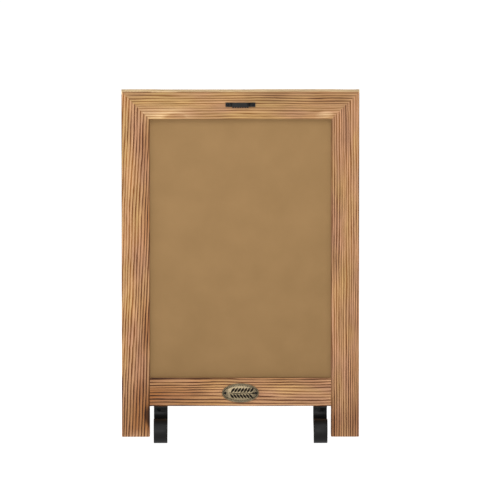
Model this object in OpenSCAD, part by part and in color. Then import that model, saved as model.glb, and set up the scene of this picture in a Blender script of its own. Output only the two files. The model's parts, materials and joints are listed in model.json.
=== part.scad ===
// Small standing sign board: a wooden frame with mitred top corners, two legs that are
// the stiles running on, a loose plain panel, and two strap-iron feet that swivel.
// X runs across the board, Y from front to back and Z up. The origin is on the standing
// surface, in the middle of the whole footprint. All sizes are in millimetres.

/* [Frame] */
// Overall width across the two stiles
board_w = 241; // [225:1:300]
// Overall height from the standing surface to the top of the frame
board_h = 354; // [300:1:420]
// Thickness of the frame from front to back
frame_t = 19; // [19:0.5:22]
// Face width of the stiles and of the top rail
stile_w = 28.5; // [26:0.5:34]
// Face width of the bottom rail
rail_w = 29; // [28:0.5:36]
// Clear height below the bottom rail
leg_h = 31.5; // [31:0.5:45]

/* [Boards in the frame] */
// Wood left in front of the face panel
lip_t = 4; // [3:0.5:5]
// Width of the rabbet that holds the boards
rabbet_w = 7; // [6:0.5:8]
// Thickness of the face panel
panel_t = 3; // [2.5:0.5:4]
// Thickness of the backing board
backing_t = 3; // [2.5:0.5:4]

/* [Feet] */
// Width of the steel strap
strap_w = 14; // [12:0.5:14]
// Thickness of the steel strap
strap_t = 2.5; // [2:0.1:2.5]
// Radius of the scroll's outer turn, to the middle of the strap
scroll_r = 11.05; // [10.5:0.05:11.5]
// Distance from the frame's face out to the middle of the scroll
scroll_out = 38; // [34:1:46]
// Height of the level run, to the middle of the strap
run_h = 14; // [13:0.5:15]
// Distance from a stile's inner side to the foot's screw
pivot_inset = 11; // [11:0.5:16]

/* [Hanger and badge] */
// Length of the sawtooth hanger
hanger_w = 30.2; // [28:0.2:36]
// Height of the hanger's plate without its teeth
hanger_h = 4.4; // [4.2:0.1:6]
// Number of teeth that hold the nail
hanger_teeth = 7; // [5:1:9]
// Width of the oval badge
badge_w = 37.5; // [34:0.5:42]
// Height of the oval badge
badge_h = 19.6; // [17:0.1:21]

/* [Turn buttons] */
// Length of a turn button
button_l = 22; // [20:0.5:22]
// Width of a turn button
button_w = 9; // [8:0.5:10]
// Thickness of a turn button
button_t = 1.2; // [1:0.1:1.5]

/* [Hidden] */
$fn = 48;
past = 1;              // how far a cutter runs past a face
slip = 0.1;            // gap between faces that slide on each other
glue = 0.05;           // gap round a glued or driven fastener
board_gap = 0.5;       // room left round the loose boards

// Opening in the frame
half_w = board_w / 2;
inner_x = half_w - stile_w;
open_low = leg_h + rail_w;
open_high = board_h - stile_w;
filler_t = frame_t - lip_t - panel_t - backing_t;

// Joinery
dowel_r = 3;
dowel_l = 30;
dowel_back = 6;                                  // dowel's middle behind the front face
dowel_up = [6, 17];                              // dowel heights above the rail's lower edge
mitre_leg = 6;                                   // leg of an L-shaped mitre nail
mitre_sheet = 0.6;
mitre_depth = 12;
mitre_x = inner_x + rabbet_w + 0.6 * (stile_w - rabbet_w);
mitre_z = board_h - half_w + mitre_x;

// Feet: positions are [out from the frame's face, up]
pivot_back = frame_t - 7.5;                      // screw's middle behind the front face
pivot_x = inner_x - pivot_inset;
foot_bore_r = 2.08;
screw_r = 2;
screw_l = 16;                                    // length in the wood
washer_r = 4.2;
washer_t = 0.8;
head_af = 7;
head_h = 2.8;
tab_top = leg_h - slip;
washer_top = tab_top - strap_t - slip;
head_top = washer_top - washer_t;
tab_bend_r = 2.2;
heel_r = 10;
strap_back = frame_t - strap_t / 2;
tab_start = [-5, tab_top - strap_t / 2];
scroll_h = scroll_r + strap_t / 2;
run_end = 10;                                    // where the level run starts to drop
drop = run_h - scroll_h;
reach = scroll_out - run_end;
sweep_r = (reach * reach + drop * drop - scroll_r * scroll_r) / (2 * (scroll_r + drop));
sweep_a = atan2(reach, sweep_r - drop);
toe_reach = scroll_out + scroll_r + strap_t / 2;

// Each move is [length, 0] for a straight or [radius, turn in degrees] for an arc
foot_moves = [[strap_back + tab_start[0] - tab_bend_r, 0],
              [tab_bend_r, 90],
              [tab_start[1] - tab_bend_r - run_h - heel_r, 0],
              [heel_r, 90],
              [strap_back - heel_r + run_end, 0],
              [sweep_r, -sweep_a],
              [scroll_r, 180 + sweep_a],
              [scroll_r - strap_t, 90],
              [scroll_r - 2 * strap_t, 90],
              [scroll_r - 3 * strap_t, 90]];
arc_step = 6;

// Hanger and badge
hanger_sheet = 0.8;
hanger_raise = 1.2;                              // how far the toothed middle stands off
hanger_tab = 5.4;
hanger_z = board_h - stile_w / 2 + 0.8;
tooth_h = 1.3;
nail_x = hanger_w / 2 - 2.2;
nail_r = 0.6;
nail_l = 9;
badge_z = leg_h + rail_w / 2 - 0.7;
badge_edge = 1.2;
badge_dome = 1;
pin_x = badge_w / 2 - 3.25;
pin_r = 0.8;
pin_head_r = 1.3;
pin_head_h = 0.9;
pin_l = 8;

// Turn buttons
button_bore_r = 1.33;
button_screw_r = 1.25;
button_screw_l = 11;
button_head_r = 3;
button_head_h = 1.6;
slot_w = 0.9;
button_reach = 5.5;                              // screw's distance from the rabbet
button_x = inner_x + rabbet_w + button_reach;
low_z = open_low + 0.26 * (open_high - open_low);
high_z = open_low + 0.74 * (open_high - open_low);
top_z = open_high + rabbet_w + button_reach;
bottom_z = open_low - rabbet_w - button_reach;
button_places = [[-button_x, low_z], [-button_x, high_z], [button_x, low_z],
                 [button_x, high_z], [0, top_z], [0, bottom_z]];
back_reach = frame_t + 2 * slip + button_t + button_head_h;

// Y of the frame's front face, which centres the footprint on the origin
front_y = (toe_reach - back_reach) / 2;

pine = [0.71, 0.55, 0.38];
pine_end = [0.78, 0.63, 0.44];
panel_brown = [0.64, 0.51, 0.34];
board_brown = [0.55, 0.42, 0.28];
black_steel = [0.15, 0.15, 0.16];
zinc = [0.62, 0.63, 0.65];
bronze = [0.48, 0.38, 0.25];

// Points after one move of a walk from place p with heading a, each as [place, heading]
function walk(p, a, move) =
    move[1] == 0 ? [[p + move[0] * [cos(a), sin(a)], a]] :
    let (s = sign(move[1]),
         n = ceil(abs(move[1]) / arc_step),
         c = p + s * move[0] * [-sin(a), cos(a)])
    [for (k = [1:n]) let (b = a + move[1] * k / n) [c + s * move[0] * [sin(b), -cos(b)], b]];

function trace(moves, i, p, a) =
    i == len(moves) ? [] :
    let (stretch = walk(p, a, moves[i]), last = stretch[len(stretch) - 1])
    concat(stretch, trace(moves, i + 1, last[0], last[1]));

function side(path, off) = [for (q = path) q[0] + off * [-sin(q[1]), cos(q[1])]];

function reversed(list) = [for (i = [len(list) - 1:-1:0]) list[i]];

// Turns a drawing of X and Z into a slab that runs back by t from depth d
module slab(d, t) {
    translate([0, front_y + d + t, 0]) rotate([90, 0, 0]) linear_extrude(t) children();
}

// Round bar along Y from depth d, at x and z
module bar(x, z, d, r, l) {
    translate([x, front_y + d, z]) rotate([-90, 0, 0]) cylinder(r = r, h = l);
}

// Space of the three boards, open to the back
module pocket() {
    w = inner_x + rabbet_w;
    low = open_low - rabbet_w;
    slab(lip_t, frame_t) translate([-w, low]) square([2 * w, open_high + rabbet_w - low]);
}

module dowel_set(r, extra) {
    for (s = [-1, 1], up = dowel_up)
        translate([s * inner_x, front_y + dowel_back, leg_h + up])
            rotate([0, 90, 0]) cylinder(r = r, h = dowel_l + 2 * extra, center = true);
}

module mitre_set() {
    for (s = [0, 1])
        mirror([s, 0, 0])
            slab(frame_t - mitre_depth, mitre_depth)
                translate([mitre_x, mitre_z]) {
                    translate([-mitre_sheet, -mitre_leg]) square([mitre_sheet, mitre_leg]);
                    translate([-mitre_leg, -mitre_sheet]) square([mitre_leg, mitre_sheet]);
                }
}

module button_screw_holes() {
    for (q = button_places)
        bar(q[0], q[1], frame_t - button_screw_l, button_screw_r + glue, button_screw_l + past);
}

module stile() {
    difference() {
        slab(0, frame_t)
            polygon([[inner_x, 0], [half_w, 0], [half_w, board_h], [inner_x, open_high]]);
        pocket();
        dowel_set(dowel_r + glue, board_gap);
        mitre_set();
        button_screw_holes();
    }
}

module left_stile() {
    color(pine) mirror([1, 0, 0]) stile();
}

module right_stile() {
    color(pine) stile();
}

module top_rail() {
    color(pine) difference() {
        slab(0, frame_t)
            polygon([[-inner_x, open_high], [inner_x, open_high],
                     [half_w, board_h], [-half_w, board_h]]);
        pocket();
        mitre_set();
        button_screw_holes();
        for (s = [-1, 1]) bar(s * nail_x, hanger_z, -past, nail_r + glue, nail_l + past);
    }
}

module bottom_rail() {
    color(pine) difference() {
        slab(0, frame_t) translate([-inner_x, leg_h]) square([2 * inner_x, rail_w]);
        pocket();
        dowel_set(dowel_r + glue, board_gap);
        button_screw_holes();
        for (s = [-1, 1]) {
            bar(s * pin_x, badge_z, -past, pin_r + glue, pin_l + past);
            translate([s * pivot_x, front_y + pivot_back, leg_h - past])
                cylinder(r = screw_r + glue, h = screw_l + past);
        }
    }
}

module rail_dowels() {
    color(pine_end) dowel_set(dowel_r, 0);
}

module mitre_nails() {
    color(zinc) mitre_set();
}

// One loose board of thickness t at depth d
module board(d, t) {
    w = inner_x + rabbet_w - board_gap;
    low = open_low - rabbet_w + board_gap;
    slab(d, t) translate([-w, low]) square([2 * w, open_high + rabbet_w - board_gap - low]);
}

module face_panel() {
    color(panel_brown) board(lip_t, panel_t);
}

module filler_board() {
    color(board_brown) board(lip_t + panel_t, filler_t);
}

module backing_board() {
    color(board_brown) board(lip_t + panel_t + filler_t, backing_t);
}

// Sheet seen from above: flat ends and a middle that stands off the wood
module hanger_fold() {
    m = hanger_w / 2 - hanger_tab;
    k = m - hanger_raise;
    front = [[hanger_w / 2, -hanger_sheet], [m, -hanger_sheet], [k, -hanger_sheet - hanger_raise]];
    rear = [[hanger_w / 2, 0], [m + 0.4, 0], [k + 0.4, -hanger_raise]];
    flip = [[-1, 0], [0, 1]];
    polygon(concat(front, reversed(front) * flip, rear * flip, reversed(rear)));
}

module hanger() {
    pitch = 2 * (hanger_w / 2 - hanger_tab - hanger_raise) / hanger_teeth;
    low = hanger_z - hanger_h / 2;
    color(black_steel) difference() {
        intersection() {
            translate([0, front_y, low - 2 * tooth_h])
                linear_extrude(hanger_h + 3 * tooth_h) hanger_fold();
            slab(-5, 6) union() {
                translate([-hanger_w / 2, low]) square([hanger_w, hanger_h]);
                for (i = [0:hanger_teeth - 1])
                    translate([(i - hanger_teeth / 2) * pitch, low])
                        polygon([[0, 0.1], [pitch / 2, -tooth_h], [pitch, 0.1]]);
            }
        }
        for (s = [-1, 1]) bar(s * nail_x, hanger_z, -3, nail_r + glue, 4);
    }
}

module hanger_nails() {
    color(black_steel) for (s = [-1, 1]) {
        bar(s * nail_x, hanger_z, -hanger_sheet - slip, nail_r, nail_l);
        bar(s * nail_x, hanger_z, -hanger_sheet - 0.6, nail_r * 2.4, 0.6 - glue);
    }
}

// Oval plate with a low domed face and a seat for each pin's head
module badge() {
    color(bronze) difference() {
        union() {
            slab(-badge_edge, badge_edge)
                translate([0, badge_z])
                    polygon([for (i = [0:71]) [badge_w / 2 * cos(5 * i), badge_h / 2 * sin(5 * i)]]);
            intersection() {
                translate([0, front_y - badge_edge, badge_z]) rotate([90, 0, 0])
                    scale([badge_w / 2 - 0.8, badge_h / 2 - 0.8, badge_dome]) sphere(1, $fn = 48);
                slab(-badge_edge - badge_dome - 1, badge_dome + 1 + badge_edge / 2)
                    translate([-badge_w / 2, badge_z - badge_h / 2]) square([badge_w, badge_h]);
            }
        }
        for (s = [-1, 1]) {
            bar(s * pin_x, badge_z, -badge_edge - past, pin_r + glue, 3);
            bar(s * pin_x, badge_z, -badge_edge - 3, pin_head_r + slip, 3);
        }
    }
}

module badge_pins() {
    color(black_steel) for (s = [-1, 1]) {
        bar(s * pin_x, badge_z, -badge_edge, pin_r, pin_l);
        bar(s * pin_x, badge_z, -badge_edge - pin_head_h, pin_head_r, pin_head_h);
    }
}

// Strap bent back under the rail, down, forward and round into a scroll
module foot() {
    path = concat([[tab_start, 180]], trace(foot_moves, 0, tab_start, 180));
    difference() {
        translate([pivot_x, front_y, 0]) rotate([90, 0, -90])
            linear_extrude(strap_w, center = true)
                polygon(concat(side(path, strap_t / 2), reversed(side(path, -strap_t / 2))));
        translate([pivot_x, front_y + pivot_back, tab_top - strap_t - past])
            cylinder(r = foot_bore_r, h = strap_t + 2 * past);
    }
}

module left_foot() {
    color(black_steel) mirror([1, 0, 0]) foot();
}

module right_foot() {
    color(black_steel) foot();
}

module foot_screws() {
    color(black_steel) for (s = [-1, 1])
        translate([s * pivot_x, front_y + pivot_back, 0]) {
            translate([0, 0, head_top - slip - head_h])
                cylinder(r = head_af / 2 / cos(30), h = head_h, $fn = 6);
            translate([0, 0, head_top - slip - head_h / 2])
                cylinder(r = screw_r, h = leg_h + screw_l - glue - head_top + slip + head_h / 2);
        }
}

module foot_washers() {
    color(black_steel) for (s = [-1, 1])
        translate([s * pivot_x, front_y + pivot_back, head_top])
            difference() {
                cylinder(r = washer_r, h = washer_t);
                translate([0, 0, -past]) cylinder(r = screw_r + slip, h = washer_t + 2 * past);
            }
}

// Flat button on the back of the frame, long along X when it holds a board from the side
module turn_button(q, upright) {
    l = button_l - button_w;
    color(zinc) difference() {
        slab(frame_t + slip, button_t)
            translate(q) rotate(upright ? 90 : 0) union() {
                square([l, button_w], center = true);
                for (s = [-1, 1]) translate([s * l / 2, 0]) circle(button_w / 2);
            }
        bar(q[0], q[1], frame_t - past, button_bore_r, button_t + slip + 2 * past);
    }
}

module turn_button_left_low() {
    turn_button(button_places[0], false);
}

module turn_button_left_high() {
    turn_button(button_places[1], false);
}

module turn_button_right_low() {
    turn_button(button_places[2], false);
}

module turn_button_right_high() {
    turn_button(button_places[3], false);
}

module turn_button_top() {
    turn_button(button_places[4], true);
}

module turn_button_bottom() {
    turn_button(button_places[5], true);
}

module turn_button_screws() {
    seat = frame_t + 2 * slip + button_t;
    color(zinc) for (q = button_places)
        difference() {
            union() {
                bar(q[0], q[1], frame_t - button_screw_l + glue, button_screw_r,
                    seat - frame_t + button_screw_l + past / 2);
                bar(q[0], q[1], seat, button_head_r, button_head_h);
            }
            slab(seat + button_head_h / 2, button_head_h)
                translate(q) square([2 * button_head_r + past, slot_w], center = true);
        }
}

left_stile();
right_stile();
top_rail();
bottom_rail();
rail_dowels();
mitre_nails();
face_panel();
filler_board();
backing_board();
hanger();
hanger_nails();
badge();
badge_pins();
left_foot();
right_foot();
foot_screws();
foot_washers();
turn_button_left_low();
turn_button_left_high();
turn_button_right_low();
turn_button_right_high();
turn_button_top();
turn_button_bottom();
turn_button_screws();
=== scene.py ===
"""Small standing sign board: a torched pine frame with a plain brown panel, an oval badge,
a sawtooth hanger and two strap-iron feet that swivel. Everything is in metres, in the
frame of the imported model: X across the board, front towards -Y, Z up."""
import json
import math

import bmesh
import bpy
from mathutils import Matrix, Vector, noise


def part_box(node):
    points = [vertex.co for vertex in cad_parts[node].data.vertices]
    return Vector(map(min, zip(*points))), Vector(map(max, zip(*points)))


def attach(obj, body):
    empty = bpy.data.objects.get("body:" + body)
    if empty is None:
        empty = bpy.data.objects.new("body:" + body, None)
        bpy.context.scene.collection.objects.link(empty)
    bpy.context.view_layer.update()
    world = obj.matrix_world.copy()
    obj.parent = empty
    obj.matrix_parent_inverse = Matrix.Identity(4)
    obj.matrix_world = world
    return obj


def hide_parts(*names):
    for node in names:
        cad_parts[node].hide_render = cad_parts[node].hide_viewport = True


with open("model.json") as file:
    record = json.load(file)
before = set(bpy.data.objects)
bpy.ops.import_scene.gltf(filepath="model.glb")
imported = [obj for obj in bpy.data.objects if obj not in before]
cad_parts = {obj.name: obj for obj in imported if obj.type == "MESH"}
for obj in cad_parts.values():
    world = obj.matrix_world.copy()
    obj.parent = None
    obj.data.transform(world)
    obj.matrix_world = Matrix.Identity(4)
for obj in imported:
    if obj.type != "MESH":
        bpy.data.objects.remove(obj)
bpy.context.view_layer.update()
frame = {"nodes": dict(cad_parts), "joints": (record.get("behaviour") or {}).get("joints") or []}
MM = 0.001


# ---- Stage and camera ---------------------------------------------------------------
# A seamless white sweep under soft overhead light, as in a shop's catalogue. The camera
# stands well back and a little above the board, so upright lines stay parallel.

def linear(code):
    """An sRGB hex colour as linear RGBA."""
    parts = [int(code[i:i + 2], 16) / 255 for i in (1, 3, 5)]
    return [c / 12.92 if c <= 0.04045 else ((c + 0.055) / 1.055) ** 2.4 for c in parts] + [1]


def add(tree, kind, settings=None, inputs=None):
    """Adds a node, sets its settings, and links or sets its inputs."""
    made = tree.nodes.new(kind)
    for key, value in (settings or {}).items():
        setattr(made, key, value)
    for key, value in (inputs or {}).items():
        if isinstance(value, bpy.types.NodeSocket):
            tree.links.new(value, made.inputs[key])
        else:
            made.inputs[key].default_value = value
    return made


def new_material(name):
    """An empty material, its node tree and the surface socket of its output."""
    material = bpy.data.materials.new(name)
    material.use_nodes = True
    tree = material.node_tree
    tree.nodes.clear()
    return material, tree, add(tree, "ShaderNodeOutputMaterial").inputs["Surface"]


scene = bpy.context.scene
stile_low, stile_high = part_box("left_stile")
face_y, board_top = stile_low.y, stile_high.z
face_middle = Vector((0, face_y, board_top / 2))
camera_distance, camera_lens = 11.0, 781     # metres, and mm on a 36 mm wide sensor
camera_height, camera_side = math.radians(8.3), math.radians(-0.175)
aim_right, aim_up = 9.7 * MM, 14.8 * MM      # from the middle of the face
room_light, sweep_glow = 0.25, 0.9
sweep_half = 40                              # metres from the board to the sweep's edges
floor_drop = 0.1 * MM                        # just clear of the legs that stand on it

away = Vector((math.sin(camera_side), -math.cos(camera_side), math.tan(camera_height)))
away.normalize()
eye = face_middle + camera_distance * away
right = Vector((0, 0, 1)).cross(away).normalized()
aim = face_middle + aim_right * right + aim_up * away.cross(right)

camera_data = bpy.data.cameras.new("camera")
camera_data.lens = camera_lens
camera_data.clip_end = 5 * sweep_half
camera = bpy.data.objects.new("camera", camera_data)
camera.location = eye
camera.rotation_euler = (aim - eye).to_track_quat("-Z", "Y").to_euler()
scene.collection.objects.link(camera)
scene.camera = camera
scene.view_settings.view_transform = "Standard"

sky = bpy.data.worlds.new("white_room")
sky.use_nodes = True
backdrop = sky.node_tree.nodes["Background"].inputs
backdrop["Color"].default_value = (1, 1, 1, 1)
backdrop["Strength"].default_value = room_light
scene.world = sky

# A soft box in front, one overhead and one at the left: name, place, width, watts
for lamp_name, place, width, power in (("front_box", (-0.5, -4.2, 1.0), 1.4, 126),
                                       ("overhead_box", (0.2, -1.8, 2.6), 1.6, 60),
                                       ("left_box", (-2.6, -1.8, 1.2), 1.2, 8)):
    lamp_data = bpy.data.lights.new(lamp_name, "AREA")
    lamp_data.size = width
    lamp_data.energy = power
    lamp = bpy.data.objects.new(lamp_name, lamp_data)
    lamp.location = place
    lamp.rotation_euler = (face_middle - lamp.location).to_track_quat("-Z", "Y").to_euler()
    scene.collection.objects.link(lamp)

# The sweep glows a little, so that it stays white far behind the board
floor_bm = bmesh.new()
bmesh.ops.create_grid(floor_bm, x_segments=1, y_segments=1, size=sweep_half)
floor_mesh = bpy.data.meshes.new("floor")
floor_bm.to_mesh(floor_mesh)
floor_bm.free()
floor = bpy.data.objects.new("floor", floor_mesh)
scene.collection.objects.link(floor)
white_paper, tree, surface = new_material("white_sweep")
matte = add(tree, "ShaderNodeBsdfDiffuse", None, {"Color": linear("#BCBCBC")})
glow = add(tree, "ShaderNodeEmission", None, {"Color": (1, 1, 1, 1), "Strength": sweep_glow})
both = add(tree, "ShaderNodeAddShader", None, {0: matte.outputs[0], 1: glow.outputs[0]})
tree.links.new(both.outputs[0], surface)
floor_mesh.materials.append(white_paper)
floor.location.z = -floor_drop


# ---- Pine frame: two stiles and two rails -------------------------------------------
# Planed softwood sticks, 19 mm thick, scorched with a torch and then wire brushed. The
# flame darkens the hard late wood and the brush scoops out the soft early wood, so the
# growth rings stand up as dark, wavy lines along each stick.

soften = 0.8 * MM            # sanded round on the long edges
scoop_depth = 0.22 * MM      # how far the brush digs into the early wood
across_step = 0.42 * MM      # mesh spacing across the rings
along_step = 4 * MM          # mesh spacing along the grain
arris_burn = 1.1 * MM        # width of the dark line on the sharp edges
planed_and_lit_top = 0.35 * MM       # depth of the pale top face: planed after torching, and painted paler still as light from above
sharp_turn = math.radians(42)   # steeper edges than this are shaded sharp
fit = 0.05 * MM              # room round every shank and dowel
loose_room = 0.5 * MM        # room round the loose boards and at the dowels' ends
shank_r = {"foot_screws": 2 * MM, "turn_button_screws": 1.25 * MM, "hanger_nails": 0.6 * MM,
           "badge_pins": 0.8 * MM}

# One growth ring, from its soft start to its hard end: share of the ring, darkness
ring_shape = [(0, 0.06), (0.1, 0), (0.4, 0.08), (0.6, 0.55), (0.72, 1), (0.92, 1), (1, 0.06)]


def along_list(stops, x):
    """Value at x on the straight lines through a list of (x, value)."""
    for (x0, v0), (x1, v1) in zip(stops, stops[1:]):
        if x <= x1:
            return v0 + (v1 - v0) * max(0, (x - x0) / (x1 - x0))
    return stops[-1][1]


def islands(node_name):
    """Lowest and highest corner of each separate solid in a CAD node, left to right."""
    bm = bmesh.new()
    bm.from_mesh(frame["nodes"][node_name].data)
    bmesh.ops.remove_doubles(bm, verts=bm.verts, dist=1e-6)
    left, found = set(bm.verts), []
    while left:
        front = [left.pop()]
        seen = list(front)
        while front:
            near = {e.other_vert(v) for v in front for e in v.link_edges} & left
            left -= near
            seen += near
            front = list(near)
        found.append([Vector([f(v.co[i] for v in seen) for i in range(3)]) for f in (min, max)])
    bm.free()
    return sorted(found, key=lambda pair: (round(pair[0].x, 4), pair[0].z))


def finish_piece(bm, name, body, replaced, material):
    """Turns a bmesh into a piece that stands for a CAD node and rides with its body."""
    mesh = bpy.data.meshes.new(name)
    bm.to_mesh(mesh)
    bm.free()
    mesh.polygons.foreach_set("use_smooth", [True] * len(mesh.polygons))
    mesh.set_sharp_from_angle(angle=sharp_turn)
    mesh.materials.append(material)
    piece = bpy.data.objects.new(name, mesh)
    scene.collection.objects.link(piece)
    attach(piece, body)
    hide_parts(replaced)


def cut_away(bm, cutter):
    """The shape in bm less the closed shapes in cutter; both are used up."""
    pair = []
    for shape, label in ((bm, "stock"), (cutter, "tool")):
        mesh = bpy.data.meshes.new(label)
        shape.to_mesh(mesh)
        shape.free()
        pair.append(bpy.data.objects.new(label, mesh))
        scene.collection.objects.link(pair[-1])
    cut = pair[0].modifiers.new("cut", "BOOLEAN")
    cut.object = pair[1]
    cut.operation = "DIFFERENCE"
    cut.solver = "EXACT"
    result = bmesh.new()
    result.from_object(pair[0], bpy.context.evaluated_depsgraph_get())
    for thing in pair:
        mesh = thing.data
        bpy.data.objects.remove(thing)
        bpy.data.meshes.remove(mesh)
    return result


def block(bm, low, high):
    """Adds a box from its lowest to its highest corner."""
    place = Matrix.Translation((low + high) / 2) @ Matrix.Diagonal((high - low).to_4d())
    bmesh.ops.create_cube(bm, size=1, matrix=place)


def rod(bm, start, end, radius, sides=24):
    """Adds a closed round bar between two points on a line along an axis."""
    turn = (end - start).to_track_quat("Z", "Y").to_matrix().to_4x4()
    bmesh.ops.create_cone(bm, cap_ends=True, segments=sides, radius1=radius, radius2=radius,
                          depth=(end - start).length,
                          matrix=Matrix.Translation((start + end) / 2) @ turn)


def frame_cutter():
    """The rabbet's pocket and every fastener's hole, as closed shapes."""
    low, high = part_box("face_panel")
    past_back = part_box("backing_board")[1].y + 5 * MM
    bm = bmesh.new()
    block(bm, Vector((low.x - loose_room, low.y, low.z - loose_room)),
          Vector((high.x + loose_room, past_back, high.z + loose_room)))
    for low, high in islands("rail_dowels"):
        mid, reach = (low + high) / 2, Vector(((high.x - low.x) / 2 + loose_room, 0, 0))
        rod(bm, mid - reach, mid + reach, (high.z - low.z) / 2 + fit)
    for node_name, radius in shank_r.items():
        axis = 2 if node_name == "foot_screws" else 1
        for low, high in islands(node_name):
            start = (low + high) / 2
            end = start.copy()
            start[axis], end[axis] = low[axis], high[axis]
            rod(bm, start, end, radius + fit)
    return bm


class Growth:
    """How the rings run through one stick: where the tree's heart lay, in mm from the
    stick's middle, how wide the rings are, and how hard the torch worked along it."""

    def __init__(self, grain, across, middle, half, heart, ring_width, seed, torch, lean=0,
                 marks=(), slant=0):
        self.grain, self.across, self.middle, self.half = grain, across, middle, half
        self.lean = lean                     # extra burn towards one side of the stick
        self.marks = marks                   # (along, across, length, width, burn) in mm
        self.slant = slant                   # how far the grain runs off line, per mm
        self.heart, self.ring_width, self.seed, self.torch = heart, ring_width, seed, torch

    def ring(self, co):
        """Rings between the heart and a point. Slow and quick noises, of 0.3 to 1.5 mm,
        make the lines wander along the stick and swell unevenly across it."""
        s = co[self.grain] / MM
        u = (co[self.across] - self.middle[self.across]) / MM
        w = (co.y - self.middle.y) / MM
        sway = 1.5 * noise.noise(Vector((s / 110, self.seed, 0))) - self.slant * s
        sway += 0.35 * noise.noise(Vector((s / 31, self.seed, 7)))
        r = math.hypot(u + sway - self.heart[0], w - self.heart[1])
        r += 1.1 * noise.noise(Vector((u / 8, w / 16 + self.seed, s / 120)))
        r += 0.3 * noise.noise(Vector((u / 3, w / 6 - self.seed, s / 38)))
        return r / self.ring_width

    def scorch(self, co):
        """How burnt the wood is at a point: patchy, stronger on the edges and at marks."""
        # The top face gets no burn: planed wood, whose pale colour is partly painted light from
        # above
        if co.z > board_top - planed_and_lit_top:
            return 0
        s = co[self.grain] / MM
        inside = [self.half[i] - abs(co[i] - self.middle[i]) for i in (self.across, 1)]
        edge = max(0, 1 - max(inside) / arris_burn)
        patch = noise.noise(Vector((s / 34, co[self.across] * 90, self.seed + co.y * 40)))
        u = (co[self.across] - self.middle[self.across]) / MM
        lean = self.lean * u * MM / self.half[self.across]
        burn = min(0.85, max(0.2, along_list(self.torch, s) + 0.25 * patch + 0.22 * edge + lean))
        for at_s, at_u, length, width, extra in self.marks:
            off = ((s - at_s) / length) ** 2 + ((u - at_u) / width) ** 2
            burn += extra * (1 + patch) * math.exp(-off)
        return min(1, max(0.14, burn))


def speckle(tree, place, size_mm, detail, **more):
    """Noise whose lumps are about size_mm wide."""
    return add(tree, "ShaderNodeTexNoise", None, {"Vector": place, "Scale": 1000 / size_mm,
                                                  "Detail": detail, **more}).outputs["Fac"]


def mixed(tree, factor, a, b, blend="MIX"):
    """Colour a where the factor is 0 and colour b where it is 1."""
    return add(tree, "ShaderNodeMix", {"data_type": "RGBA", "blend_type": blend},
               {0: factor, 6: a, 7: b}).outputs[2]


def span(tree, value, low, high, start=0.0, end=1.0):
    """A value that runs from start to end, as one that runs from low to high."""
    return add(tree, "ShaderNodeMapRange", None,
               {"Value": value, "From Min": start, "From Max": end,
                "To Min": low, "To Max": high}).outputs[0]


def relief(tree, height, strength, depth):
    """Fine unevenness of the surface, up to depth high."""
    return add(tree, "ShaderNodeBump", None,
               {"Height": height, "Strength": strength, "Distance": depth}).outputs[0]


def coated(tree, surface, colour, roughness, skin, **more):
    """Joins a colour, roughness and relief into the shader of the material's surface."""
    coat = add(tree, "ShaderNodeBsdfPrincipled", None,
               {"Base Color": colour, "Roughness": roughness, **more})
    if skin:
        tree.links.new(skin, coat.inputs["Normal"])
    tree.links.new(coat.outputs[0], surface)


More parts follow.
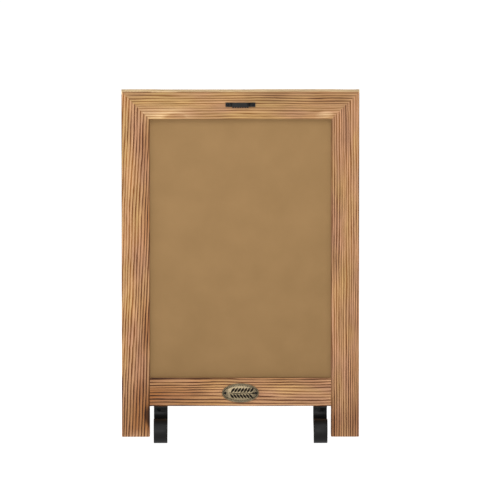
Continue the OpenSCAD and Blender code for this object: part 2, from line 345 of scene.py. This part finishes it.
def torched_pine(name, grain, golden, depth, shade):
    """Torched and brushed pine. The eye gets straw early wood, dark brown late wood, fine
    fibres along the grain, and patches that lean to gold or to pink under a clear sealer.
    golden is the share of gold, depth how strongly the late wood is marked, and shade
    how bright the stick is as a whole."""
    material, tree, surface = new_material(name)
    place = add(tree, "ShaderNodeTexCoord").outputs["Object"]
    ring = add(tree, "ShaderNodeAttribute", {"attribute_name": "ring"}).outputs["Fac"]
    scorch = add(tree, "ShaderNodeAttribute", {"attribute_name": "scorch"}).outputs["Fac"]

    def grained(across_mm, along_mm, detail):
        """Noise that is across_mm wide and along_mm long on the stick."""
        scale = [1000 / across_mm] * 3
        scale[grain] = 1000 / along_mm
        spot = add(tree, "ShaderNodeMapping", None, {"Vector": place, "Scale": scale})
        return speckle(tree, spot.outputs[0], 1000, detail)

    def maths(operation, a, b=0.0):
        return add(tree, "ShaderNodeMath", {"operation": operation}, {0: a, 1: b}).outputs[0]

    def ramp(factor, stops):
        made = add(tree, "ShaderNodeValToRGB", None, {"Fac": factor})
        for at, colour in stops[1:-1]:
            made.color_ramp.elements.new(at).color = colour
        for element, (at, colour) in zip(made.color_ramp.elements, stops):
            element.position, element.color = at, colour
        return made.outputs["Color"]

    def spread(value, low, high):
        """A noise value, which mostly lies between 0.3 and 0.7, spread from low to high."""
        return span(tree, value, low, high, 0.3, 0.7)

    wander = spread(grained(1.1, 34, 2), -0.09, 0.09)
    count = maths("ADD", ring, wander)
    share = maths("FRACT", count)
    late = ramp(share, [(at, (dark, dark, dark, 1)) for at, dark in ring_shape])
    each = add(tree, "ShaderNodeTexWhiteNoise", {"noise_dimensions": "1D"},
               {"W": maths("FLOOR", count)}).outputs["Value"]
    broken = spread(grained(1.3, 34, 3), 0.55, 1.3)
    uneven = span(tree, each, 0.65, 1.15)
    late = maths("MULTIPLY", maths("MULTIPLY", late, broken), uneven)
    late = maths("MULTIPLY", late, depth)

    # Ramps by scorch, from the planed top at 0, painted paler still as light from above, to
    # charred at 1
    blush = spread(grained(16, 60, 2), golden - 0.6, golden + 0.6)
    planed_and_lit = linear("#E6CA9E")
    gold = ramp(scorch, [(0, planed_and_lit), (0.05, planed_and_lit), (0.2, linear("#A68556")),
                         (0.4, linear("#A17D53")), (0.85, linear("#85582F")),
                         (1, linear("#452810"))])
    pink = ramp(scorch, [(0, planed_and_lit), (0.05, planed_and_lit), (0.2, linear("#A37B5C")),
                         (0.4, linear("#9F775A")), (0.85, linear("#85552F")),
                         (1, linear("#43250F"))])
    early = mixed(tree, blush, pink, gold)
    dark = ramp(scorch, [(0, linear("#C29A66")), (0.05, linear("#C29A66")),
                         (0.2, linear("#6E4319")), (0.4, linear("#4A2409")),
                         (0.7, linear("#2E1303")), (1, linear("#1A0A02"))])
    colour = mixed(tree, late, early, dark)
    fibre = grained(0.5, 22, 3)
    streak = spread(fibre, 0.8 * shade, 1.14 * shade)
    streak = maths("MULTIPLY", streak, spread(grained(15, 55, 2), 0.88, 1.12))
    grey = add(tree, "ShaderNodeCombineColor", None, {0: streak, 1: streak, 2: streak}).outputs[0]
    colour = mixed(tree, 1.0, colour, grey, "MULTIPLY")
    coated(tree, surface, colour, span(tree, late, 0.72, 0.52),
           relief(tree, fibre, 0.35, 0.12 * MM), **{"IOR": 1.5, "Specular IOR Level": 0.12})
    return material


def stick(name, grain, mitres, free_ends, material, **growth):
    """Saws, eases, brushes and rabbets one member. mitres are (point, outward normal) of
    its angled cuts, and free_ends the ends along the grain whose edges are eased too."""
    low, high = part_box(name)
    across = 2 - grain
    middle, half = (low + high) / 2, (high - low) / 2
    rings = Growth(grain, across, middle, half, **growth)
    bm = bmesh.new()
    block(bm, low, high)

    def run(edge, axis):
        return abs(edge.verts[0].co[axis] - edge.verts[1].co[axis])

    eased = [e for e in bm.edges if run(e, grain) > 10 * MM]
    for end in free_ends:
        eased += [e for e in bm.edges if all(abs(v.co[grain] - end) < 1e-6 for v in e.verts)]
    bmesh.ops.bevel(bm, geom=eased, offset=soften, affect="EDGES", segments=2, profile=0.5,
                    material=-1)
    for point, normal in mitres:
        cut = bmesh.ops.bisect_plane(bm, geom=bm.verts[:] + bm.edges[:] + bm.faces[:],
                                     plane_co=point, plane_no=normal, clear_outer=True)
        rim = [g for g in cut["geom_cut"] if isinstance(g, bmesh.types.BMEdge)]
        bmesh.ops.contextual_create(bm, geom=rim)

    # A fine grid on every side: axis, shortest edge that is split, spacing
    for axis, least, step in ((across, 5 * MM, across_step), (1, 5 * MM, across_step),
                              (grain, 40 * MM, along_step)):
        cuts = round(2 * half[axis] / step)
        chosen = [e for e in bm.edges if run(e, axis) > least]
        if axis != grain:                # a mitre's 45 degree edges still count as across
            chosen = [e for e in chosen if run(e, grain) < run(e, axis) * 1.01]
        bmesh.ops.subdivide_edges(bm, edges=chosen, cuts=cuts, use_grid_fill=True)

    # The brush reaches every outer side but not the sawn ends
    bm.normal_update()
    for v in bm.verts:
        if abs(v.normal[grain]) < 0.2:
            dug = 1 - along_list(ring_shape, rings.ring(v.co) % 1)
            v.co -= scoop_depth * dug * v.normal
    bm = cut_away(bm, frame_cutter())
    ring_layer = bm.verts.layers.float.new("ring")
    scorch_layer = bm.verts.layers.float.new("scorch")
    for v in bm.verts:
        v[ring_layer] = rings.ring(v.co)
        v[scorch_layer] = rings.scorch(v.co)
    finish_piece(bm, name + "_wood", "board", name, material)


inner_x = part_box("bottom_rail")[1].x
opening_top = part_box("top_rail")[0].z
corner = Vector((inner_x, 0, opening_top))
corner_left = Vector((-inner_x, 0, opening_top))
slope, slope_left = Vector((-1, 0, 1)).normalized(), Vector((1, 0, 1)).normalized()

stick("left_stile", 2, [(corner_left, slope_left)], [0],
      torched_pine("torched_pine_left", 2, 0.38, 1.25, 1.0), lean=0.18,
      heart=(66, 24), ring_width=2.7, seed=3.1,
      torch=[(0, 0.66), (22, 0.62), (60, 0.42), (120, 0.34), (354, 0.3)],
      # The mark at the foot, with less burn, is a painted highlight along the eased bottom edge
      slant=0.045, marks=[(21, 12.5, 10, 4.5, 0.28), (0, 6, 5, 14, -0.4), (250, 9, 40, 4, 0.15),
                          (120, 10, 30, 4, 0.15)])
stick("right_stile", 2, [(corner, slope)], [0],
      torched_pine("torched_pine_right", 2, 0.3, 1.15, 0.93),
      heart=(-66, 24), ring_width=2.1, seed=11.7,
      torch=[(0, 0.5), (30, 0.46), (80, 0.38), (160, 0.26), (354, 0.28)],
      marks=[(335, 0, 20, 8, 0.22), (210, -9, 50, 5, 0.12), (90, 9, 25, 4, 0.2)])
stick("top_rail", 0, [(corner_left, -slope_left), (corner, -slope)], [],
      torched_pine("torched_pine_top", 0, 0.6, 0.9, 0.87),
      heart=(62, 30), ring_width=2.2, seed=23.4,
      lean=0.06, marks=[(88, -9, 18, 7, -0.21), (-78, -9, 24, 6, -0.06), (108, 4, 10, 9, 0.15)],
      torch=[(-120, 0.24), (-80, 0.2), (0, 0.22), (50, 0.4), (120, 0.42)])
stick("bottom_rail", 0, [], [],
      torched_pine("torched_pine_bottom", 0, 0.5, 1.1, 1.03),
      heart=(-58, 30), ring_width=2.5, seed=31.9,
      torch=[(-92, 0.72), (-40, 0.52), (20, 0.5), (92, 0.4)])


# ---- Face panel, filler and backing board -------------------------------------------
# Three loose hardboard sheets that lie in the rabbet. The front one is painted a flat
# brown; the other two are bare, with pressed fibres and flecks in the brown board.

sheet_soften = 0.4 * MM


def board_sheet(name, material):
    """One sheet with its edges eased."""
    low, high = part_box(name)
    bm = bmesh.new()
    block(bm, low, high)
    bmesh.ops.bevel(bm, geom=bm.edges[:], offset=sheet_soften, affect="EDGES", segments=2,
                    profile=0.5, material=-1)
    finish_piece(bm, name + "_sheet", "board", name, material)


# Flat emulsion on hardboard: dull, even, with a faint mottle from the roller, and a shade darker
# towards the bottom
brown_paint, tree, surface = new_material("flat_brown_paint")
place = add(tree, "ShaderNodeTexCoord").outputs["Object"]
roller_mm, cloud_mm = 1.6, 26
cloud = speckle(tree, place, cloud_mm, 3)
stipple = speckle(tree, place, roller_mm, 2)
upward = add(tree, "ShaderNodeSeparateXYZ", None, {0: place}).outputs["Z"]
low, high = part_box("face_panel")
fade_top = high.z - 90 * MM
height = span(tree, upward, 0.0, 1.0, low.z, fade_top)
base = mixed(tree, height, linear("#765C3B"), linear("#7B603E"))
tinted = mixed(tree, cloud, linear("#6A5233"), linear("#866A47"))
coated(tree, surface, mixed(tree, 0.45, base, tinted), 0.82,
       relief(tree, stipple, 0.25, 0.06 * MM), **{"Specular IOR Level": 0.12})

# Bare hardboard: pressed brown fibre with pale and dark flecks, smooth and slightly shiny
hardboard, tree, surface = new_material("bare_hardboard")
place = add(tree, "ShaderNodeTexCoord").outputs["Object"]
fleck_mm, fibre_mm = 0.7, 2.6
flecks = speckle(tree, place, fleck_mm, 3, Roughness=0.7)
fibres = speckle(tree, place, fibre_mm, 4, Distortion=1.6)
blend = add(tree, "ShaderNodeMath", {"operation": "MULTIPLY"}, {0: flecks, 1: fibres}).outputs[0]
tone = mixed(tree, span(tree, blend, 0.0, 1.0, 0.12, 0.4), linear("#4E3823"), linear("#8A6946"))
coated(tree, surface, tone, 0.58, relief(tree, fibres, 0.3, 0.08 * MM))

board_sheet("face_panel", brown_paint)
board_sheet("filler_board", hardboard)
board_sheet("backing_board", hardboard)


# ---- Dowels and mitre nails ---------------------------------------------------------
# Beech dowels glued across the rail joints, and L-shaped steel nails driven from the
# back across the mitres. They sit inside the wood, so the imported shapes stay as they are.

turned_beech, tree, surface = new_material("turned_beech")
place = add(tree, "ShaderNodeTexCoord").outputs["Object"]
fleck_long, fleck_wide = 3.0, 0.35        # mm, the short dark rays that mark beech
lay = add(tree, "ShaderNodeMapping", None,
          {"Vector": place, "Scale": (1000 / fleck_long, 1000 / fleck_wide, 1000 / fleck_wide)})
rays = speckle(tree, lay.outputs[0], 1000, 2)
coated(tree, surface, mixed(tree, rays, linear("#8F6B47"), linear("#B48F66")), 0.6, None)

# Bright zinc on mild steel: a pale grey metal with soft cloudy crystals (spangle), 2.5 mm
# wide, and fine rubbed marks that make the shine uneven
zinc_plate, tree, surface = new_material("zinc_plated_steel")
place = add(tree, "ShaderNodeTexCoord").outputs["Object"]
spangle_mm, rub_mm = 2.5, 0.4
spangle = speckle(tree, place, spangle_mm, 2)
rub = speckle(tree, place, rub_mm, 2)
tone = mixed(tree, spangle, linear("#8E9094"), linear("#B9BABC"))
coated(tree, surface, tone, span(tree, rub, 0.28, 0.46), relief(tree, rub, 0.15, 0.02 * MM),
       Metallic=1.0)


def dress(node_name, material):
    """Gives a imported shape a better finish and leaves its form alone."""
    mesh = frame["nodes"][node_name].data
    mesh.materials.clear()
    mesh.materials.append(material)


dress("rail_dowels", turned_beech)
dress("mitre_nails", zinc_plate)


# ---- Strap-iron feet ----------------------------------------------------------------
# Mild-steel strap, 14 by 2.5 mm with rounded edges, bent cold: a tab under the rail,
# down behind, forward, and round into a scroll. Blackened and lacquered, so it is near
# black with a soft, slightly uneven shine.

blackened_steel, tree, surface = new_material("blackened_steel")
place = add(tree, "ShaderNodeTexCoord").outputs["Object"]
scale_mm, grit_mm = 5.0, 0.45
mill_scale = speckle(tree, place, scale_mm, 4)
grit = speckle(tree, place, grit_mm, 2)
tone = mixed(tree, mill_scale, linear("#060606"), linear("#0C0B0A"))
coated(tree, surface, tone, span(tree, mill_scale, 0.42, 0.6),
       relief(tree, grit, 0.3, 0.03 * MM), **{"IOR": 1.5, "Specular IOR Level": 0.14})

strap_thick = 2.5 * MM
strap_soften = 0.45 * MM
turn_step = math.radians(5)
under = 0.1 * MM                        # gap between the tab and the rail
bore_r = 2.08 * MM                      # the hole in the tab turns freely on the screw
rail_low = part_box("bottom_rail")[0].z
frame_back = stile_high.y - face_y
toe_low, toe_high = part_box("right_foot")
pivots = {j["child"]: Vector(j["pos_m"]) for j in frame["joints"]}

# Places are (out from the frame's face, up), to the middle of the strap's thickness
scroll_r = 11.05 * MM
scroll_out = face_y - toe_low.y - scroll_r - strap_thick / 2
tab_front, tab_bend_r, heel_r = -5 * MM, 2.2 * MM, 10 * MM
tab_up = rail_low - under - strap_thick / 2
run_up, run_end = 14 * MM, 10 * MM
strap_back = frame_back - strap_thick / 2
drop, reach = run_up - scroll_r - strap_thick / 2, scroll_out - run_end
sweep_r = (reach ** 2 + drop ** 2 - scroll_r ** 2) / (2 * (scroll_r + drop))
sweep_turn = math.atan2(reach, sweep_r - drop)
quarter = math.pi / 2

# (length, 0) for a straight or (radius, turn) for a bend; a positive turn curls inward
foot_bends = [(strap_back + tab_front - tab_bend_r, 0), (tab_bend_r, quarter),
              (tab_up - tab_bend_r - run_up - heel_r, 0), (heel_r, quarter),
              (strap_back - heel_r + run_end, 0), (sweep_r, -sweep_turn),
              (scroll_r, 2 * quarter + sweep_turn), (scroll_r - strap_thick, quarter),
              (scroll_r - 2 * strap_thick, quarter), (scroll_r - 3 * strap_thick, quarter)]


def bend_strap(mid_x):
    """Drags the strap's rounded cross-section along its bends and closes both ends."""
    bm = bmesh.new()
    across = (toe_high.x - toe_low.x) / 2
    start = Vector((mid_x, face_y - tab_front, tab_up))
    corners = [bm.verts.new(start + Vector((a * across, 0, b * strap_thick / 2)))
               for a, b in ((-1, -1), (1, -1), (1, 1), (-1, 1))]
    bm.faces.new(corners)
    bmesh.ops.bevel(bm, geom=corners, offset=strap_soften, affect="VERTICES", segments=3,
                    profile=0.5, material=-1)
    rim = list(bm.faces)[0].edges[:]
    bmesh.ops.delete(bm, geom=bm.faces[:], context="FACES_ONLY")
    here, heading = start, Vector((0, 1, 0))
    for size, turn in foot_bends:
        points = list({v for e in rim for v in e.verts})
        if turn == 0:
            made = bmesh.ops.extrude_edge_only(bm, edges=rim)["geom"]
            rim = [g for g in made if isinstance(g, bmesh.types.BMEdge)]
            rim = [e for e in rim if not any(v in points for v in e.verts)]
            bmesh.ops.translate(bm, vec=heading * size,
                                verts=list({v for e in rim for v in e.verts}))
            here = here + heading * size
            continue
        inward = heading.cross(Vector((1, 0, 0)))
        centre = here + inward * math.copysign(size, turn)
        swing = Matrix.Rotation(-turn, 3, "X")
        made = bmesh.ops.spin(bm, geom=rim + points, cent=centre, axis=(1, 0, 0), angle=-turn,
                              steps=math.ceil(abs(turn) / turn_step), use_duplicate=False)
        rim = [g for g in made["geom_last"] if isinstance(g, bmesh.types.BMEdge)]
        here = centre + swing @ (here - centre)
        heading = swing @ heading
    bmesh.ops.holes_fill(bm, edges=[e for e in bm.edges if e.is_boundary])
    bmesh.ops.recalc_face_normals(bm, faces=bm.faces[:])
    return bm


for foot in ("left_foot", "right_foot"):
    pivot = pivots[foot]
    tab_middle, through = Vector((pivot.x, pivot.y, tab_up)), Vector((0, 0, 3 * MM))
    bore = bmesh.new()
    rod(bore, tab_middle - through, tab_middle + through, bore_r, sides=32)
    finish_piece(cut_away(bend_strap(pivot.x), bore), foot + "_strap", foot,
                 foot, blackened_steel)


# ---- Foot screws and washers --------------------------------------------------------
# One black hex-head screw goes up through each foot's tab into the rail, with a black
# washer under its head. The foot turns on the screw's plain shank.

def turned(bm, profile, place, steps=32):
    """Adds a shape turned on a lathe about its own Z: profile is (radius, height) points,
    from axis to axis or as a closed ring, and place is the matrix that sets it down."""
    verts = [bm.verts.new((r, 0, h)) for r, h in profile]
    edges = [bm.edges.new(pair) for pair in zip(verts, verts[1:])]
    if profile[0][0] > 0:
        edges.append(bm.edges.new((verts[-1], verts[0])))
    known = set(bm.verts) - set(verts)
    bmesh.ops.spin(bm, geom=verts + edges, axis=(0, 0, 1), cent=(0, 0, 0), steps=steps,
                   angle=2 * math.pi, use_merge=True)
    fresh = [v for v in bm.verts if v not in known]
    bmesh.ops.remove_doubles(bm, verts=fresh, dist=1e-7)
    fresh = [v for v in bm.verts if v not in known]
    faces = list({f for v in fresh for f in v.link_faces})
    bmesh.ops.recalc_face_normals(bm, faces=faces)
    bmesh.ops.transform(bm, matrix=place, verts=fresh)


def round_over(radius, height, curve, steps=4):
    """Profile points of a rounded rim that ends at the given radius and height."""
    return [(radius - curve + curve * math.cos(a), height - curve + curve * math.sin(a))
            for a in (quarter * k / steps for k in range(steps + 1))]


def domed(radius, height, collar=0.0):
    """Profile points of a domed head, from the middle of its top to its rim."""
    rim = [(radius * math.cos(a), collar + (height - collar) * math.sin(a))
           for a in (quarter * k / 5 for k in range(5))]
    return [(0, height)] + rim[::-1]


square_edge = math.radians(60)                       # a sharper turn than any bend's facets
facing_front = Matrix.Rotation(quarter, 4, "X")      # a shape's Z comes to point along -Y
facing_back = Matrix.Rotation(-quarter, 4, "X")

hex_height, hex_across, hex_soften = 2.8 * MM, 7 * MM, 0.5 * MM
hex_r = hex_across / 2 / math.cos(math.pi / 6)
point_r, point_long = 0.4 * MM, 3 * MM
overlap = 0.3 * MM                       # how far the shank reaches into the head
foot_shank_r = shank_r["foot_screws"]

bm = bmesh.new()
for low, high in islands("foot_screws"):
    middle = Vector(((low.x + high.x) / 2, (low.y + high.y) / 2, 0))
    seat = low.z + hex_height
    place = Matrix.Translation(middle + Vector((0, 0, seat - hex_height / 2)))
    head = bmesh.ops.create_cone(bm, cap_ends=True, segments=6, radius1=hex_r, radius2=hex_r,
                                 depth=hex_height, matrix=place)
    rim = {e for v in head["verts"] for e in v.link_edges
           if all(q.co.z < seat - 0.01 * MM for q in e.verts)}
    bmesh.ops.bevel(bm, geom=list(rim), offset=hex_soften, affect="EDGES", segments=2,
                    profile=0.5, material=-1)
    turned(bm, [(0, high.z), (point_r, high.z), (foot_shank_r, high.z - point_long),
                (foot_shank_r, seat - overlap), (0, seat - overlap)],
           Matrix.Translation(middle))
finish_piece(bm, "foot_screw_pair", "board", "foot_screws", blackened_steel)

washer_soften, washer_hole_r = 0.2 * MM, foot_shank_r + 0.1 * MM
bm = bmesh.new()
for low, high in islands("foot_washers"):
    middle, outer, thick = (low + high) / 2, (high.x - low.x) / 2, high.z - low.z
    half_ring = round_over(outer, thick / 2, washer_soften)
    ring = half_ring + [(washer_hole_r, thick / 2), (washer_hole_r, -thick / 2)]
    ring += [(r, -h) for r, h in reversed(half_ring)]
    turned(bm, list(reversed(ring)), Matrix.Translation(middle))
finish_piece(bm, "foot_washer_pair", "board", "foot_washers", blackened_steel)


# ---- Sawtooth hanger and its nails --------------------------------------------------
# Black sheet steel, 0.8 mm thick, nailed to the face of the top rail by its flat ends.
# The middle stands off the wood and has a row of teeth for a nail or hook.

low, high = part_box("hanger")
tooth_down, hanger_sheet, hanger_tab = 1.3 * MM, 0.8 * MM, 5.4 * MM
hanger_soften, hanger_hole_r = 0.12 * MM, 0.65 * MM
hanger_raise = high.y - low.y - hanger_sheet
tooth_count = 7
plate_low = low.z + tooth_down
fold_out = high.x - hanger_tab
fold_in = fold_out - hanger_raise
tooth_pitch = 2 * fold_in / tooth_count

# One sheet folded at the upright lines in folds, with a triangle below for each tooth
bm = bmesh.new()
folds = [low.x, -fold_out] + [i * tooth_pitch - fold_in for i in range(tooth_count + 1)]
folds += [fold_out, high.x]
stand_off = [hanger_raise if abs(x) < fold_in + 1e-6 else 0 for x in folds]
edge_up, edge_down = [[bm.verts.new((x, face_y - off, z)) for x, off in zip(folds, stand_off)]
                      for z in (high.z, plate_low)]
for i in range(len(folds) - 1):
    bm.faces.new((edge_down[i], edge_down[i + 1], edge_up[i + 1], edge_up[i]))
    if 2 <= i < 2 + tooth_count:
        tip = bm.verts.new(((folds[i] + folds[i + 1]) / 2, face_y - hanger_raise, low.z))
        bm.faces.new((tip, edge_down[i + 1], edge_down[i]))
bmesh.ops.recalc_face_normals(bm, faces=bm.faces[:])
if sum((f.normal for f in bm.faces), Vector()).y > 0:
    bmesh.ops.reverse_faces(bm, faces=bm.faces[:])
bmesh.ops.solidify(bm, geom=bm.faces[:], thickness=hanger_sheet)
out_by = min(v.co.y for v in bm.verts) - low.y
bmesh.ops.translate(bm, verts=bm.verts[:], vec=(0, -out_by, 0))
worn = [e for e in bm.edges if e.calc_face_angle(0) > square_edge
        and all(v.co.z > plate_low + MM for v in e.verts)]
bmesh.ops.bevel(bm, geom=worn, offset=hanger_soften, affect="EDGES", segments=2, profile=0.5,
                material=-1, clamp_overlap=True)

head_r, head_up = 1.44 * MM, 0.6 * MM
nail_r = shank_r["hanger_nails"]
holes, nails = bmesh.new(), bmesh.new()
for nail_low, nail_high in islands("hanger_nails"):
    middle = (nail_low + nail_high) / 2
    seat = Vector((middle.x, face_y - hanger_sheet, middle.z))
    through = Vector((0, 2 * MM, 0))
    rod(holes, seat - through, seat + through, hanger_hole_r)
    tip = seat.y - nail_high.y
    turned(nails, domed(head_r, head_up) + [(nail_r, 0), (nail_r, tip + MM), (0, tip)],
           Matrix.Translation(seat) @ facing_front, steps=20)
finish_piece(cut_away(bm, holes), "hanger_plate", "board", "hanger",
             blackened_steel)
finish_piece(nails, "hanger_nail_pair", "board", "hanger_nails", blackened_steel)


# ---- Oval badge and its pins --------------------------------------------------------
# A cast oval in antique bronze: a round rim, a low dome, and a sprig of leaves sunk into
# it between two rows of dots. The casting is darkened all over and then rubbed, so the
# high places are pale and the hollows stay dark. A black pin holds each end.

low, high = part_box("badge")
middle = (low + high) / 2
half_long, half_tall = (high.x - low.x) / 2, (high.z - low.z) / 2
badge_up = high.y - low.y
rim_in, rim_up, field_up = 1.3 * MM, 1.25 * MM, 0.85 * MM
dome_up = badge_up - field_up - 0.02 * MM
leaf_deep, vein_half, bead_deep = 0.42 * MM, 0.22 * MM, 0.35 * MM
stem_end, stem_half, stem_sway, sway_rate = 11.4 * MM, 0.32 * MM, 0.35 * MM, 420
bead_r, bead_in, bead_step = 0.42 * MM, 2.3 * MM, 6.4      # the step is in degrees

leaves = []                              # (x, z, angle, half length, half width)
for i in range(-3, 4):
    for side in (-1, 1):
        x = i * 3.2 * MM + side * 0.5 * MM
        leaves.append((x + 1.5 * MM, side * 3.1 * MM, side * math.radians(52), 3.0 * MM,
                       1.05 * MM))
leaves.append((13.0 * MM, 0, 0, 1.9 * MM, 0.9 * MM))
beads = []
for k in range(-8, 9):
    for side in (-1, 1):
        a = math.radians(90 + k * bead_step)
        beads.append(((half_long - bead_in) * math.cos(a),
                      side * (half_tall - bead_in) * math.sin(a)))


def sprig(x, z):
    """How deep the ornament is sunk at a point of the badge, and how near its edge is."""
    sunk, gap = 0.0, MM
    if abs(x) < stem_end:
        off = abs(z - stem_sway * math.sin(x * sway_rate))
        gap = min(gap, abs(off - stem_half))
        sunk = max(sunk, 0.8 * leaf_deep * (1 - (off / stem_half) ** 2))
    for cx, cz, turn, length, width in leaves:
        a = (x - cx) * math.cos(turn) + (z - cz) * math.sin(turn)
        b = abs((z - cz) * math.cos(turn) - (x - cx) * math.sin(turn))
        if abs(a) >= length + 0.5 * MM:
            continue
        wide = width * max(0.05, 1 - (a / length) ** 2)
        gap = min(gap, abs(b - wide))
        if b < wide and abs(a) < length:
            vein = 0.35 * max(0, 1 - b / vein_half)
            sunk = max(sunk, leaf_deep * (math.sqrt(1 - (b / wide) ** 2) - vein))
    for cx, cz in beads:
        off = math.hypot(x - cx, z - cz)
        gap = min(gap, abs(off - bead_r))
        if off < bead_r:
            sunk = max(sunk, bead_deep * math.sqrt(1 - (off / bead_r) ** 2))
    return max(0, sunk), gap


# Lathe a round blank, spread it into the oval, then sink the ornament into its face
field_rings, blank_sides, blank_edge = 46, 224, 0.1 * MM
blank = [(0, field_up + dome_up)]
for k in range(1, field_rings + 1):
    d = (1 - k / field_rings) * (half_tall - rim_in) + rim_in
    t = (d - rim_in) / (half_tall - rim_in)
    blank.append((half_tall - d, field_up + dome_up * (1 - (1 - t) ** 2)))
for share, up in ((0.82, 0.75), (0.62, 0.97), (0.4, 1.0), (0.2, 0.9), (0.06, 0.68), (0, 0.4)):
    blank.append((half_tall - rim_in * share, rim_up * up))
blank += [(half_tall, blank_edge), (half_tall - blank_edge, 0), (0, 0)]
bm = bmesh.new()
turned(bm, blank, Matrix.Identity(4), steps=blank_sides)
patina_and_shade = bm.verts.layers.float.new("patina_and_shade")
for v in bm.verts:
    r = math.hypot(v.co.x, v.co.y)
    if r > 1e-6:
        v.co.x += (half_long - half_tall) * v.co.x / r
    if half_tall - r > rim_in * 0.9 and v.co.z > 0.2 * MM:
        # Dirt stays inside the rim and along every cut; beside the pins the ends are darkened
        # too, as painted shade where the dome curves away from the light
        sunk, gap = sprig(v.co.x, v.co.y)
        v.co.z -= sunk
        pin_end_shade = max(0, 1 - max(0, half_long - 5 * MM - abs(v.co.x)) / (2 * MM))
        near_rim = max(0, 1 - abs(half_tall - r - rim_in) / (0.7 * MM))
        near_cut = max(0, 1 - gap / (0.3 * MM))
        soiled_and_shaded = 0.12 + 0.3 * near_cut + 0.35 * pin_end_shade + 0.6 * near_rim
        v[patina_and_shade] = 0.97 if sunk > 0.06 * MM else min(1, soiled_and_shaded)
    else:
        v[patina_and_shade] = 1.1 - min(0.7, v.co.z / (rim_up * 0.9))
seat = Vector((middle.x, high.y, middle.z))
bmesh.ops.transform(bm, matrix=Matrix.Translation(seat) @ facing_front, verts=bm.verts[:])

antique_bronze, tree, surface = new_material("antique_bronze")
place = add(tree, "ShaderNodeTexCoord").outputs["Object"]
# The patina attribute also carries painted shade at the badge's two ends
hollow_and_shade = add(tree, "ShaderNodeAttribute", {"attribute_name": "patina_and_shade"}).outputs["Fac"]
cast_mm = 0.8
sand = speckle(tree, place, cast_mm, 3)
cloudy = span(tree, sand, -0.12, 0.2, 0.3, 0.7)
dark = add(tree, "ShaderNodeMath", {"operation": "ADD", "use_clamp": True},
           {0: hollow_and_shade, 1: cloudy}).outputs[0]
coated(tree, surface, mixed(tree, dark, linear("#8A7C62"), linear("#0E0905")),
       span(tree, dark, 0.5, 0.72), relief(tree, sand, 0.3, 0.05 * MM), Metallic=0.85)

pin_up, pin_collar, pin_room = 0.9 * MM, 0.3 * MM, 0.1 * MM
pin_r = shank_r["badge_pins"]
sinkings, pin_holes, pins = bmesh.new(), bmesh.new(), bmesh.new()
for pin_low, pin_high in islands("badge_pins"):
    centre = (pin_low + pin_high) / 2
    head_r = (pin_high.x - pin_low.x) / 2
    seat = Vector((centre.x, pin_low.y + pin_up, centre.z))
    through = Vector((0, 3 * MM, 0))
    rod(sinkings, seat - through, seat, head_r + pin_room, sides=28)
    rod(pin_holes, seat - through / 3, seat + through, pin_r + fit)
    tip = seat.y - pin_high.y
    turned(pins, domed(head_r, pin_up, pin_collar) +
           [(head_r, 0), (pin_r, 0), (pin_r, tip + MM), (0, tip)],
           Matrix.Translation(seat) @ facing_front, steps=24)
casting = cut_away(cut_away(bm, sinkings), pin_holes)
finish_piece(casting, "badge_casting", "board", "badge", antique_bronze)
finish_piece(pins, "badge_pin_pair", "board", "badge_pins", blackened_steel)


# ---- Turn buttons and their screws --------------------------------------------------
# Six stamped zinc-plated plates on the back of the frame, each on one slotted pan-head
# screw. A quarter turn swings a button clear, so the boards can be lifted out.

button_eye_r, button_soften = 1.33 * MM, 0.25 * MM


def turn_button(name):
    """A round-ended plate with an eye, built flat along X and then set upright."""
    low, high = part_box(name)
    middle, size = (low + high) / 2, high - low
    upright = size.z > size.x
    length, width = max(size.x, size.z), min(size.x, size.z)
    bm = bmesh.new()
    # Half a step of turn, so that no corner of the circle lies on its middle line
    sides = 48
    half_step = Matrix.Rotation(math.pi / sides, 4, "Z")
    rim = bmesh.ops.create_circle(bm, segments=sides, radius=width / 2,
                                  matrix=half_step)["verts"]
    bmesh.ops.create_circle(bm, segments=sides, radius=button_eye_r, matrix=half_step)
    for v in rim:
        v.co.x += math.copysign((length - width) / 2, v.co.x)
    bmesh.ops.bridge_loops(bm, edges=bm.edges[:])
    made = bmesh.ops.extrude_face_region(bm, geom=bm.faces[:])["geom"]
    bmesh.ops.translate(bm, vec=(0, 0, size.y),
                        verts=[g for g in made if isinstance(g, bmesh.types.BMVert)])
    bmesh.ops.translate(bm, vec=(0, 0, -size.y / 2), verts=bm.verts[:])
    bmesh.ops.recalc_face_normals(bm, faces=bm.faces[:])
    rims = [e for e in bm.edges if e.calc_face_angle(0) > square_edge]
    bmesh.ops.bevel(bm, geom=rims, offset=button_soften, affect="EDGES", segments=3,
                    profile=0.5, material=-1)
    turn = Matrix.Rotation(quarter if upright else 0, 4, "Z")
    place = Matrix.Translation(middle) @ facing_back @ turn
    bmesh.ops.transform(bm, matrix=place, verts=bm.verts[:])
    finish_piece(bm, name + "_plate", name, name, zinc_plate)


for name in frame["nodes"]:
    if name.startswith("turn_button_") and name != "turn_button_screws":
        turn_button(name)

pan_r, pan_up, pan_curve, pan_tuck = 3 * MM, 1.6 * MM, 0.9 * MM, 0.15 * MM
slot_wide, shaft_r = 0.9 * MM, shank_r["turn_button_screws"]
bm, slots = bmesh.new(), bmesh.new()
for low, high in islands("turn_button_screws"):
    middle = (low + high) / 2
    seat = Vector((middle.x, high.y - pan_up, middle.z))
    tip = low.y - seat.y
    turned(bm, [(0, pan_up)] + round_over(pan_r, pan_up, pan_curve)[::-1] +
           [(pan_r - pan_tuck, 0), (shaft_r, 0), (shaft_r, tip + 2 * MM), (0, tip)],
           Matrix.Translation(seat) @ facing_back)
    top = Vector((middle.x, high.y, middle.z))
    block(slots, top - Vector((2 * pan_r, pan_up / 2, slot_wide / 2)),
          top + Vector((2 * pan_r, pan_up, slot_wide / 2)))
finish_piece(cut_away(bm, slots), "turn_button_screw_set", "board",
             "turn_button_screws", zinc_plate)
